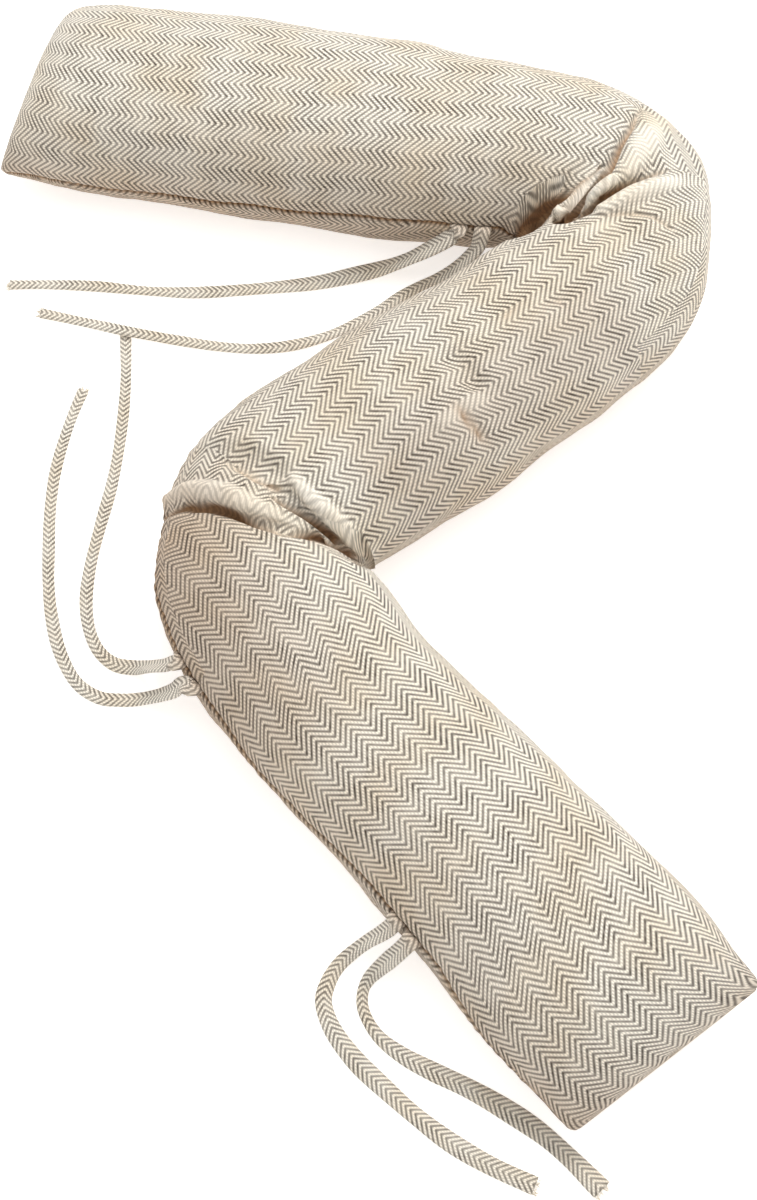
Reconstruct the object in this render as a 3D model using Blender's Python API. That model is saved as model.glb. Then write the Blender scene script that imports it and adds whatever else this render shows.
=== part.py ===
"""Draught excluder: one long filled cloth tube that lies bent in a zigzag, with three pairs of tie strands.

Metres, +Z up. The tube rests on z = 0, and the origin is under the middle of the tube's box.
Seen from above, the first run goes right, the middle run comes back to the lower left, and the last run
goes to the lower right. The long seam and its ties are on the right hand of that course.
"""
import math

import bmesh
import bpy
from mathutils import Vector

CLOTH_COLOR = (0.60, 0.54, 0.45, 1.0)
CLOTH_ROUGHNESS = 0.9

# Course of the tube's middle line on the floor, a row for each run or bend: name, length, turn to the left
COURSE = [
    ("first run", 0.196, -1.2),
    ("first run, easing round", 0.078, -1.4),
    ("first bend", 0.1185, -131.9),
    ("middle run", 0.168, 0.0),
    ("second bend", 0.085, 93.0),
    ("last run", 0.261, 0.0),
]
COURSE_START = (-0.1784, 0.2467)
COURSE_HEADING = -8.5

# Sections across the tube, as seen along the course: length along it, half width to the right,
# half width to the left, height, how far the seam on the right is rolled up in degrees
SECTIONS = [
    (0.000, 0.0485, 0.0585, 0.064, 8.0),
    (0.050, 0.0525, 0.0555, 0.067, 12.0),
    (0.140, 0.0555, 0.0555, 0.070, 14.0),
    (0.200, 0.0570, 0.0540, 0.070, 13.0),
    (0.245, 0.0540, 0.0515, 0.069, 10.0),
    (0.274, 0.0500, 0.0500, 0.067, 8.0),
    (0.320, 0.0500, 0.0575, 0.064, 4.0),
    (0.355, 0.0500, 0.0490, 0.063, 2.0),
    (0.392, 0.0500, 0.0500, 0.066, 4.0),
    (0.430, 0.0480, 0.0535, 0.067, 4.0),
    (0.500, 0.0530, 0.0560, 0.068, 5.0),
    (0.560, 0.0530, 0.0535, 0.064, 8.0),
    (0.603, 0.0500, 0.0510, 0.059, 10.0),
    (0.630, 0.0510, 0.0505, 0.060, 12.0),
    (0.660, 0.0545, 0.0480, 0.061, 12.0),
    (0.700, 0.0560, 0.0440, 0.062, 13.0),
    (0.785, 0.0540, 0.0495, 0.060, 13.0),
    (0.865, 0.0575, 0.0545, 0.056, 11.0),
    (0.907, 0.0555, 0.0525, 0.052, 8.0),
]

# Shape of every section
EDGE_LEVEL = 0.42       # height of the tube's widest line, as a share of the section's height
CROWN_POWER = 2.3       # 2 is a round crown, more is a flatter one with fuller shoulders
FLAT_SHARE = 0.50       # share of the half width that lies flat on the floor
SEAM_DEPTH = 0.0012
SEAM_LIP = 5.0          # degrees of the section on either side of the seam

# Sewn ends: the cushion thins to a flat edge, and the first one slants back towards its left corner
END_LENGTH = 0.045
END_LEVEL = 0.020
END_THICKNESS = 0.003
END_SLANT = 0.013
SLANT_LENGTH = 0.090

# Folds pressed into the top, as lines on the floor plan: name, x, y, depth, half width
FOLDS = [
    ("first bend, outer crease", 0.1486, 0.2147, 0.004, 0.008),
    ("first bend, outer crease", 0.1346, 0.1837, 0.009, 0.009),
    ("first bend, outer crease", 0.1256, 0.1667, 0.012, 0.010),
    ("first bend, outer crease", 0.1096, 0.1517, 0.016, 0.010),
    ("first bend, inner crease", 0.1586, 0.1737, 0.002, 0.007),
    ("first bend, inner crease", 0.1446, 0.1647, 0.008, 0.008),
    ("first bend, inner crease", 0.1246, 0.1507, 0.013, 0.009),
    ("first bend, inner crease", 0.1056, 0.1467, 0.017, 0.010),
    ("first bend, pocket", 0.1256, 0.1787, 0.003, 0.007),
    ("first bend, pocket", 0.1096, 0.1637, 0.010, 0.009),
    ("first bend, pocket", 0.0966, 0.1557, 0.016, 0.010),
    ("first bend, pocket", 0.0836, 0.1457, 0.020, 0.012),
    ("second bend, long crease", -0.0884, -0.0223, 0.006, 0.008),
    ("second bend, long crease", -0.0724, -0.0173, 0.010, 0.009),
    ("second bend, long crease", -0.0504, -0.0223, 0.008, 0.009),
    ("second bend, long crease", -0.0224, -0.0293, 0.006, 0.009),
    ("second bend, long crease", 0.0036, -0.0383, 0.012, 0.010),
    ("second bend, short crease", -0.0364, -0.0103, 0.003, 0.007),
    ("second bend, short crease", -0.0164, -0.0233, 0.010, 0.008),
    ("second bend, short crease", 0.0026, -0.0353, 0.014, 0.010),
    ("second bend, valley", -0.0724, 0.0137, 0.002, 0.010),
    ("second bend, valley", -0.0524, 0.0067, 0.006, 0.011),
    ("second bend, valley", -0.0344, -0.0043, 0.004, 0.009),
    ("middle run, dimple", 0.0496, 0.0547, 0.003, 0.008),
    ("middle run, dimple", 0.0596, 0.0427, 0.004, 0.008),
]
FOLD_LIMIT = 0.70       # a fold takes at most this share of the crown's rise above the widest line

# Fineness of the tube's mesh
STATION_STEP = 0.0105
BEND_STEP = 0.0050
BEND_TURN = 1.0         # radians; a leg of the course that turns more than this is a bend
END_STATIONS = (0.0, 0.0015, 0.005, 0.011, 0.019)
FIRST_EVEN_STATION = 0.026
TOP_STEPS = 20
UNDER_STEPS = 11

# Tie strands: flat folded tapes, a little wider where the seam holds them
TIE_WIDTH = 0.006
TIE_THICKNESS = 0.0026
TIE_ROOT_SPREAD = 1.25
TIE_ROOT_LENGTH = 0.030
TIE_ROOT_GAP = 0.0002   # from the seam's line, which lies in a groove
TIE_ROOT_RISE = 0.0035  # how far a strand stands straight out of the seam before it bends down
TIE_STEP = 0.0070
CURVE_STEPS = 12        # points worked out on a strand's curve between two points of its route

# Where each strand leaves the seam, as a length along the course
TIE_ROOTS = {
    "tie_1a": 0.2455,
    "tie_1b": 0.2580,
    "tie_2a": 0.6375,
    "tie_2b": 0.6450,
    "tie_3a": 0.7895,
    "tie_3b": 0.8005,
}

# Routes of the strands from near the seam to their free ends: x, y and height of the strand's middle
TIE_ROUTES = {
    "tie_1a": [
        (0.0521, 0.1513, 0.0340), (0.0479, 0.1498, 0.0310), (0.0429, 0.1492, 0.0270), (0.0336, 0.1488, 0.0195),
        (0.0248, 0.1490, 0.0125), (0.0143, 0.1489, 0.0065), (-0.0017, 0.1470, 0.0026), (-0.0199, 0.1433, 0.0016),
        (-0.0448, 0.1403, 0.0015), (-0.0801, 0.1375, 0.0015), (-0.1061, 0.1384, 0.0015),
        (-0.1333, 0.1413, 0.0015), (-0.1578, 0.1423, 0.0015), (-0.1786, 0.1422, 0.0015),
    ],
    "tie_1b": [
        (0.0637, 0.1467, 0.0290), (0.0591, 0.1451, 0.0220), (0.0526, 0.1438, 0.0145), (0.0435, 0.1423, 0.0070),
        (0.0348, 0.1401, 0.0032), (0.0244, 0.1346, 0.0016), (0.0140, 0.1261, 0.0015), (0.0011, 0.1181, 0.0015),
        (-0.0133, 0.1107, 0.0015), (-0.0317, 0.1050, 0.0015), (-0.0506, 0.1031, 0.0015),
        (-0.0692, 0.1045, 0.0015), (-0.0904, 0.1079, 0.0020), (-0.1044, 0.1098, 0.0036),
        (-0.1169, 0.1119, 0.0046), (-0.1294, 0.1158, 0.0034), (-0.1445, 0.1205, 0.0018), (-0.1613, 0.1248, 0.0015),
    ],
    "tie_2a": [
        (-0.0817, -0.0869, 0.0310), (-0.0873, -0.0850, 0.0240), (-0.0932, -0.0821, 0.0160),
        (-0.0983, -0.0794, 0.0088), (-0.1042, -0.0770, 0.0034), (-0.1131, -0.0743, 0.0016),
        (-0.1212, -0.0668, 0.0015), (-0.1264, -0.0543, 0.0015), (-0.1284, -0.0387, 0.0015),
        (-0.1271, -0.0196, 0.0015), (-0.1234, 0.0019, 0.0015), (-0.1196, 0.0216, 0.0015),
        (-0.1170, 0.0421, 0.0015), (-0.1156, 0.0654, 0.0015), (-0.1155, 0.0873, 0.0014), (-0.1169, 0.1119, 0.0014),
    ],
    "tie_2b": [
        (-0.0769, -0.0980, 0.0310), (-0.0821, -0.0977, 0.0235), (-0.0880, -0.0960, 0.0150),
        (-0.0941, -0.0945, 0.0082), (-0.1010, -0.0935, 0.0032), (-0.1094, -0.0931, 0.0016),
        (-0.1197, -0.0916, 0.0015), (-0.1307, -0.0837, 0.0015), (-0.1393, -0.0680, 0.0015),
        (-0.1442, -0.0505, 0.0015), (-0.1470, -0.0327, 0.0015), (-0.1483, -0.0125, 0.0015),
        (-0.1490, 0.0092, 0.0015), (-0.1479, 0.0301, 0.0015), (-0.1447, 0.0491, 0.0015),
        (-0.1407, 0.0654, 0.0015), (-0.1368, 0.0778, 0.0015),
    ],
    "tie_3a": [
        (0.0189, -0.2133, 0.0305), (0.0147, -0.2141, 0.0230), (0.0090, -0.2149, 0.0145), (0.0036, -0.2166, 0.0072),
        (-0.0009, -0.2190, 0.0030), (-0.0054, -0.2233, 0.0016), (-0.0094, -0.2305, 0.0015),
        (-0.0112, -0.2396, 0.0015), (-0.0069, -0.2518, 0.0015), (0.0029, -0.2652, 0.0015),
        (0.0156, -0.2775, 0.0015), (0.0291, -0.2895, 0.0015), (0.0445, -0.3012, 0.0015),
        (0.0616, -0.3112, 0.0015), (0.0803, -0.3197, 0.0015),
    ],
    "tie_3b": [
        (0.0245, -0.2226, 0.0305), (0.0209, -0.2240, 0.0235), (0.0166, -0.2253, 0.0155), (0.0125, -0.2269, 0.0085),
        (0.0088, -0.2295, 0.0038), (0.0062, -0.2348, 0.0016), (0.0068, -0.2437, 0.0015), (0.0131, -0.2545, 0.0015),
        (0.0238, -0.2631, 0.0015), (0.0371, -0.2703, 0.0015), (0.0527, -0.2778, 0.0015), (0.0678, -0.2865, 0.0015),
        (0.0832, -0.2969, 0.0015), (0.0961, -0.3083, 0.0015), (0.1089, -0.3214, 0.0015),
    ],
}


def step_along(x, y, heading, turn, length):
    """End of an arc of this length that turns evenly by this much."""
    chord = length
    if turn:
        chord = length * math.sin(turn / 2) / (turn / 2)
    middle = heading + turn / 2
    return x + chord * math.cos(middle), y + chord * math.sin(middle)


def course_legs():
    """Each row of the course with where it begins: start length, length, x, y, heading, turn."""
    legs = []
    x, y = COURSE_START
    heading = math.radians(COURSE_HEADING)
    start = 0.0
    for _name, length, turn_degrees in COURSE:
        turn = math.radians(turn_degrees)
        legs.append((start, length, x, y, heading, turn))
        x, y = step_along(x, y, heading, turn, length)
        heading += turn
        start += length
    return legs


LEGS = course_legs()
COURSE_LENGTH = sum(row[1] for row in COURSE)


def on_course(s):
    """Point and heading of the middle line at length s."""
    leg = [row for row in LEGS if row[0] <= max(s, 0.0)][-1]
    start, length, x, y, heading, turn = leg
    part = (s - start) / length
    px, py = step_along(x, y, heading, turn * part, s - start)
    return px, py, heading + turn * part


def section_at(s):
    """Right and left half width, height and seam roll at length s, eased between the table's rows."""
    for low, high in zip(SECTIONS, SECTIONS[1:]):
        if s <= high[0]:
            part = max((s - low[0]) / (high[0] - low[0]), 0.0)
            ease = part * part * (3 - 2 * part)
            return tuple(a + (b - a) * ease for a, b in zip(low[1:], high[1:]))
    return SECTIONS[-1][1:]


def end_share(s):
    """0 at a sewn end and 1 from END_LENGTH inwards, rising like a pillow's end."""
    inward = min(s, COURSE_LENGTH - s)
    part = min(max(inward / END_LENGTH, 0.0), 1.0)
    return math.sqrt(1 - (1 - part) ** 2)


def fold_lines():
    """The folds' rows as pieces of line between neighbouring points of the same fold."""
    return [(a, b) for a, b in zip(FOLDS, FOLDS[1:]) if a[0] == b[0]]


FOLD_LINES = fold_lines()


def fold_depth(x, y):
    """How deep the folds press the top at a point of the floor plan."""
    deepest = 0.0
    for (_name, ax, ay, depth_a, width_a), (_same, bx, by, depth_b, width_b) in FOLD_LINES:
        dx, dy = bx - ax, by - ay
        part = ((x - ax) * dx + (y - ay) * dy) / (dx * dx + dy * dy)
        part = min(max(part, 0.0), 1.0)
        away = math.hypot(x - ax - dx * part, y - ay - dy * part)
        reach = away / (width_a + (width_b - width_a) * part)
        if reach < 1:
            depth = depth_a + (depth_b - depth_a) * part
            deepest = max(deepest, depth * (1 - reach * reach) ** 2)
    return deepest


def plan_point(s, across):
    """Floor plan point at length s; across is -1 at the right edge and 1 at the left edge."""
    if s < SLANT_LENGTH:
        s += END_SLANT * (across + 1) / 2 * (1 - s / SLANT_LENGTH)
    x, y, heading = on_course(s)
    right, left, _height, _roll = section_at(s)
    offset = across * (left if across > 0 else right)
    return x - math.sin(heading) * offset, y + math.cos(heading) * offset


def surface_point(s, angle):
    """Point of the skin at length s; angle 0 is the right edge, 90 the crown, 180 the left edge, in degrees."""
    _right, _left, height, _roll = section_at(s)
    share = end_share(s)
    edge = END_LEVEL + (height * EDGE_LEVEL - END_LEVEL) * share
    turned = math.radians(angle)
    across = -math.cos(turned)
    x, y = plan_point(s, across)
    outer = max((abs(across) - FLAT_SHARE) / (1 - FLAT_SHARE), 0.0)
    under = edge - min(END_THICKNESS / 2 + edge * share, edge) * math.sqrt(1 - outer ** 2)
    if math.sin(turned) < 0:
        return Vector((x, y, under))
    crown = END_THICKNESS / 2 + (height - edge) * share
    rise = crown * math.sqrt(max(1 - abs(across) ** CROWN_POWER, 0.0))
    return Vector((x, y, edge + rise - min(fold_depth(x, y), FOLD_LIMIT * rise)))


def station_lengths():
    """Lengths of the loft's stations: closer in the bends and towards the sewn ends."""
    lengths = [*END_STATIONS, *(COURSE_LENGTH - s for s in END_STATIONS)]
    for start, length, _x, _y, _heading, turn in LEGS:
        step = BEND_STEP if abs(turn) > BEND_TURN else STATION_STEP
        count = round(length / step)
        for index in range(count):
            s = start + length * index / count
            if FIRST_EVEN_STATION < s < COURSE_LENGTH - FIRST_EVEN_STATION:
                lengths.append(s)
    return sorted(lengths)


def ring_angles(roll):
    """Angles of one ring, from the seam over the crown and back under the tube."""
    angles = [roll, roll + SEAM_LIP]
    angles += [roll + SEAM_LIP + (180 - roll - SEAM_LIP) * k / TOP_STEPS for k in range(1, TOP_STEPS + 1)]
    angles += [180 + (180 + roll - SEAM_LIP) * k / UNDER_STEPS for k in range(1, UNDER_STEPS + 1)]
    return angles


def outward_at(s):
    """Level direction out of the tube's right side."""
    heading = on_course(s)[2]
    return Vector((math.sin(heading), -math.cos(heading), 0.0))


def seam_point(s):
    return surface_point(s, section_at(s)[3])


def seam_normal(s):
    """Direction straight out of the skin at the seam, worked out from the two lips."""
    roll = section_at(s)[3]
    up_the_skin = surface_point(s, roll + SEAM_LIP) - surface_point(s, roll - SEAM_LIP)
    heading = on_course(s)[2]
    along = Vector((math.cos(heading), math.sin(heading), 0.0))
    return along.cross(up_the_skin).normalized()


def build_tube(collection, material):
    bm = bmesh.new()
    rings = []
    for s in station_lengths():
        points = [surface_point(s, angle) for angle in ring_angles(section_at(s)[3])]
        points[0] -= outward_at(s) * SEAM_DEPTH * end_share(s)
        rings.append([bm.verts.new(point) for point in points])
    for near, far in zip(rings, rings[1:]):
        for index, corner in enumerate(near):
            after = (index + 1) % len(near)
            bm.faces.new((corner, far[index], far[after], near[after]))
    ends = [bm.faces.new(rings[0]), bm.faces.new(list(reversed(rings[-1])))]
    bmesh.ops.triangulate(bm, faces=ends)
    bmesh.ops.recalc_face_normals(bm, faces=bm.faces)
    mesh = bpy.data.meshes.new("stuffed_tube")
    bm.to_mesh(mesh)
    bm.free()
    mesh.shade_smooth()
    mesh.materials.append(material)
    tube = bpy.data.objects.new("stuffed_tube", mesh)
    collection.objects.link(tube)


def smooth_route(points, step):
    """Evenly spaced points on a Catmull-Rom curve through the route's own points."""
    ends = [points[0] * 2 - points[1], *points, points[-1] * 2 - points[-2]]
    fine = []
    for before, start, end, after in zip(ends, ends[1:], ends[2:], ends[3:]):
        for index in range(CURVE_STEPS):
            t = index / CURVE_STEPS
            fine.append(0.5 * (2 * start + (end - before) * t
                               + (2 * before - 5 * start + 4 * end - after) * t ** 2
                               + (3 * start - before - 3 * end + after) * t ** 3))
    fine.append(points[-1])
    reached = [0.0]
    for a, b in zip(fine, fine[1:]):
        reached.append(reached[-1] + (b - a).length)
    count = round(reached[-1] / step)
    even = []
    index = 0
    for number in range(count + 1):
        wanted = reached[-1] * number / count
        while index < len(fine) - 2 and reached[index + 1] < wanted:
            index += 1
        part = (wanted - reached[index]) / (reached[index + 1] - reached[index])
        even.append(fine[index].lerp(fine[index + 1], part))
    return even


def tape_profile():
    """Flat section of a tie strand, used as the strands' bevel and not built itself."""
    side, top = TIE_WIDTH / 2, TIE_THICKNESS / 2
    corners = [(-side, top / 2), (top - side, top), (side - top, top), (side, top / 2)]
    corners += [(-x, -y) for x, y in corners]
    curve = bpy.data.curves.new("tape_profile", "CURVE")
    curve.dimensions = "2D"
    spline = curve.splines.new("POLY")
    spline.points.add(len(corners) - 1)
    for point, (x, y) in zip(spline.points, corners):
        point.co = (x, y, 0.0, 1.0)
    spline.use_cyclic_u = True
    profile = bpy.data.objects.new("tape_profile", curve)
    profile.hide_render = True
    profile.display_type = "WIRE"
    return profile


def build_tie(name, profile, collection, material):
    seam, normal = seam_point(TIE_ROOTS[name]), seam_normal(TIE_ROOTS[name])
    free = [seam + normal * TIE_ROOT_RISE]
    free += [Vector(point) for point in TIE_ROUTES[name]]
    route = [seam + normal * TIE_ROOT_GAP]
    route += smooth_route(free, TIE_STEP)
    curve = bpy.data.curves.new(name, "CURVE")
    curve.dimensions = "3D"
    curve.twist_mode = "Z_UP"
    curve.bevel_mode = "OBJECT"
    curve.bevel_object = profile
    curve.use_fill_caps = True
    curve.render_resolution_u = 0
    spline = curve.splines.new("POLY")
    spline.points.add(len(route) - 1)
    for number, (point, place) in enumerate(zip(spline.points, route)):
        point.co = (*place, 1.0)
        near_root = max(1 - number * TIE_STEP / TIE_ROOT_LENGTH, 0.0)
        point.radius = 1 + (TIE_ROOT_SPREAD - 1) * near_root
    curve.materials.append(material)
    tie = bpy.data.objects.new(name, curve)
    collection.objects.link(tie)


def cloth_material():
    """Undyed cotton in a fine herringbone twill."""
    material = bpy.data.materials.new("herringbone_cotton")
    material.use_nodes = True
    shader = material.node_tree.nodes["Principled BSDF"]
    shader.inputs["Base Color"].default_value = CLOTH_COLOR
    shader.inputs["Roughness"].default_value = CLOTH_ROUGHNESS
    shader.inputs["Metallic"].default_value = 0.0
    return material


def build():
    for old in list(bpy.data.objects):
        bpy.data.objects.remove(old, do_unlink=True)
    collection = bpy.data.collections.new("draught_excluder")
    guides = bpy.data.collections.new("guides")
    bpy.context.scene.collection.children.link(collection)
    bpy.context.scene.collection.children.link(guides)
    material = cloth_material()
    build_tube(collection, material)
    profile = tape_profile()
    guides.objects.link(profile)
    for name in TIE_ROUTES:
        build_tie(name, profile, collection, material)


build()
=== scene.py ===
"""Looks of a draught excluder: a long filled herringbone tube that lies in a zigzag, with six tie strands.

Metres, +Z up, in the frame's own axes. Pattern sizes on the cloth are in millimetres.
"""
import math
import random

import bmesh
import bpy
import numpy as np
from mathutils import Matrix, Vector, noise


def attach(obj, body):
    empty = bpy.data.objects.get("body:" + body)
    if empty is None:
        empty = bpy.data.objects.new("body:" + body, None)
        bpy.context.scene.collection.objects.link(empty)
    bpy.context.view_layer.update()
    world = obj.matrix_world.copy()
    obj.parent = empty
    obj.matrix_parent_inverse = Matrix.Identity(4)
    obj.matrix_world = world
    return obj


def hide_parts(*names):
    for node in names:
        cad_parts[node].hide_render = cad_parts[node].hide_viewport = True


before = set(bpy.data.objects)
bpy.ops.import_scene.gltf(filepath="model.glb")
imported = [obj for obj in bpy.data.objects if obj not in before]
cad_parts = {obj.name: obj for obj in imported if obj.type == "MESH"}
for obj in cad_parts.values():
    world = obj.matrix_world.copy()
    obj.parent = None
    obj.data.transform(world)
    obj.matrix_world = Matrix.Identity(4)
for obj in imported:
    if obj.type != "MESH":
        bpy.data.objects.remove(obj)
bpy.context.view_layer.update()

bl_info = {
    "name": "Herringbone draught excluder",
    "version": (1, 0, 0),
    "blender": (4, 5, 0),
    "location": "3D View > Sidebar > Cushion",
    "description": "Dresses a packed draught excluder in herringbone cotton, with its seam and its ties",
    "category": "Object",
}

BODY = "root"
FRAY_SEED = 7

# The camera looks down along +Y from in front of the last run
CAMERA_PLACE = (0.0132, -0.5073, 0.959)
CAMERA_PITCH = 26.0
CAMERA_LENS = 66.0

# Half the floor's width, its drop under the object, and each lamp's place, size and share of the key power
FLOOR_SIZE = 6.0
FLOOR_DROP = 0.0002
LAMPS = {
    "key": ((0.45, 1.0, 1.7), 0.9, 1.0),
    "top": ((0.2, 0.0, 2.2), 1.6, 0.2),
}

# Course of the tube's middle line on the floor, a row for each run or bend: name, length, turn to the left
COURSE = [
    ("first run", 0.196, -1.2),
    ("first run, easing round", 0.078, -1.4),
    ("first bend", 0.1185, -131.9),
    ("middle run", 0.168, 0.0),
    ("second bend", 0.085, 93.0),
    ("last run", 0.261, 0.0),
]
COURSE_START = (-0.1784, 0.2467)
COURSE_HEADING = -8.5

# Sections across the tube, seen along the course: length along it, half width to the right, half width
# to the left, height, and degrees by which the seam lies above the right edge, or below it if negative
SECTIONS = np.array([
    (0.000, 0.0485, 0.0585, 0.064, -5.0),
    (0.050, 0.0525, 0.0555, 0.067, -5.0),
    (0.140, 0.0555, 0.0555, 0.070, 1.0),
    (0.200, 0.0570, 0.0540, 0.070, 8.0),
    (0.245, 0.0540, 0.0515, 0.069, 10.0),
    (0.274, 0.0500, 0.0500, 0.067, 8.0),
    (0.320, 0.0500, 0.0575, 0.064, 4.0),
    (0.355, 0.0500, 0.0490, 0.063, 2.0),
    (0.392, 0.0500, 0.0500, 0.066, 4.0),
    (0.430, 0.0480, 0.0535, 0.067, 4.0),
    (0.500, 0.0530, 0.0560, 0.068, 5.0),
    (0.560, 0.0530, 0.0535, 0.064, 8.0),
    (0.603, 0.0500, 0.0510, 0.059, 10.0),
    (0.630, 0.0510, 0.0505, 0.060, 12.0),
    (0.660, 0.0545, 0.0480, 0.061, 12.0),
    (0.700, 0.0560, 0.0440, 0.062, 5.0),
    (0.785, 0.0540, 0.0495, 0.060, 13.0),
    (0.812, 0.0549, 0.0508, 0.0589, 12.5),
    (0.865, 0.0575, 0.0545, 0.056, 1.0),
    (0.907, 0.0555, 0.0525, 0.052, -2.0),
])

# Shape of every section and of the two sewn ends
EDGE_LEVEL = 0.42
CROWN_POWER = 2.3
FLAT_SHARE = 0.50
END_LENGTH = 0.045
END_LEVEL = 0.020
END_THICKNESS = 0.003
END_SLANT = 0.013
FAR_SLANT = 0.005
SLANT_LENGTH = 0.090
CORNER_RADIUS = 0.0045

# Broad folds pressed into the top, shallower than the solid's: points of x, y, depth, half width
FOLDS = {
    "first bend, outer crease": (
        (0.1486, 0.2147, 0.001, 0.005), (0.1346, 0.1837, 0.002, 0.005), (0.1256, 0.1667, 0.004, 0.006),
        (0.1096, 0.1517, 0.013, 0.009),
    ),
    "first bend, inner crease": (
        (0.1586, 0.1737, 0.0005, 0.005), (0.1446, 0.1647, 0.002, 0.005), (0.1246, 0.1507, 0.005, 0.006),
        (0.1056, 0.1467, 0.014, 0.009),
    ),
    "first bend, pocket": (
        (0.1256, 0.1787, 0.001, 0.006), (0.1096, 0.1637, 0.006, 0.008), (0.0966, 0.1557, 0.016, 0.010),
        (0.0836, 0.1457, 0.020, 0.012),
    ),
    "second bend, long crease": (
        (-0.0884, -0.0203, 0.001, 0.006), (-0.0724, -0.0163, 0.003, 0.006),
        (-0.0504, -0.0243, 0.003, 0.006), (-0.0224, -0.0313, 0.003, 0.007),
        (0.0036, -0.0383, 0.009, 0.008),
    ),
    "second bend, short crease": (
        (-0.0364, -0.0103, 0.003, 0.007), (-0.0164, -0.0243, 0.005, 0.006),
        (0.0026, -0.0353, 0.010, 0.008),
    ),
    "second bend, valley": (
        (-0.0724, 0.0137, 0.002, 0.010), (-0.0524, 0.0067, 0.006, 0.011),
        (-0.0344, -0.0043, 0.004, 0.009),
    ),
    "middle run, dimple": (
        (0.0496, 0.0547, 0.003, 0.008), (0.0596, 0.0427, 0.004, 0.008),
    ),
}
FOLD_LIMIT = 0.70

# Sharp creases over those folds: points of x, y, depth, half width
CREASES = {
    "first bend, outer crease": (
        (0.150, 0.219, 0.0005, 0.0020), (0.142, 0.198, 0.0044, 0.0024), (0.136, 0.186, 0.0058, 0.0026),
        (0.129, 0.171, 0.0072, 0.0028), (0.115, 0.153, 0.0090, 0.0032), (0.104, 0.147, 0.0090, 0.0034),
    ),
    "first bend, inner crease": (
        (0.158, 0.171, 0.0008, 0.0020), (0.149, 0.165, 0.0060, 0.0025), (0.135, 0.159, 0.0074, 0.0028),
        (0.122, 0.151, 0.0086, 0.0030), (0.110, 0.144, 0.0090, 0.0034),
    ),
    "first bend, edge of the first run": (
        (0.125, 0.171, 0.0040, 0.0026), (0.117, 0.165, 0.0070, 0.0032), (0.109, 0.160, 0.0085, 0.0038),
        (0.098, 0.158, 0.0090, 0.0048), (0.088, 0.152, 0.0090, 0.0060),
    ),
    "first bend, shallow arc": (
        (0.123, 0.140, 0.0006, 0.0026), (0.133, 0.142, 0.0020, 0.0032), (0.147, 0.141, 0.0020, 0.0032),
        (0.156, 0.137, 0.0016, 0.0032), (0.165, 0.132, 0.0003, 0.0026),
    ),
    "first bend, pucker": (
        (0.092, 0.085, 0.0006, 0.0040), (0.100, 0.088, 0.0018, 0.0045), (0.107, 0.083, 0.0005, 0.0040),
    ),
    "first bend, third pucker": (
        (0.074, 0.079, 0.0022, 0.0048), (0.083, 0.088, 0.0005, 0.0045),
    ),
    "middle run, dimple": (
        (0.048, 0.031, 0.0016, 0.0050), (0.053, 0.026, 0.0036, 0.0060), (0.062, 0.019, 0.0034, 0.0056),
        (0.068, 0.015, 0.0005, 0.0040),
    ),
    "second bend, long crease": (
        (-0.092, -0.011, 0.0003, 0.0020), (-0.085, -0.0138, 0.0034, 0.0024),
        (-0.077, -0.015, 0.0072, 0.0028), (-0.066, -0.0175, 0.0085, 0.0030),
        (-0.055, -0.022, 0.0080, 0.0030), (-0.043, -0.029, 0.0066, 0.0030),
        (-0.030, -0.034, 0.0032, 0.0028), (-0.016, -0.032, 0.0060, 0.0030),
        (0.000, -0.034, 0.0085, 0.0036),
    ),
    "second bend, short crease": (
        (-0.038, -0.013, 0.0005, 0.0020), (-0.031, -0.018, 0.0066, 0.0025),
        (-0.023, -0.022, 0.0082, 0.0028), (-0.015, -0.026, 0.0080, 0.0030),
        (-0.006, -0.030, 0.0075, 0.0032),
    ),
    "second bend, valley": (
        (-0.064, 0.010, 0.0005, 0.0050), (-0.055, 0.004, 0.0018, 0.0055),
        (-0.044, -0.005, 0.0034, 0.0050), (-0.034, -0.011, 0.0030, 0.0040),
    ),
}

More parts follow.
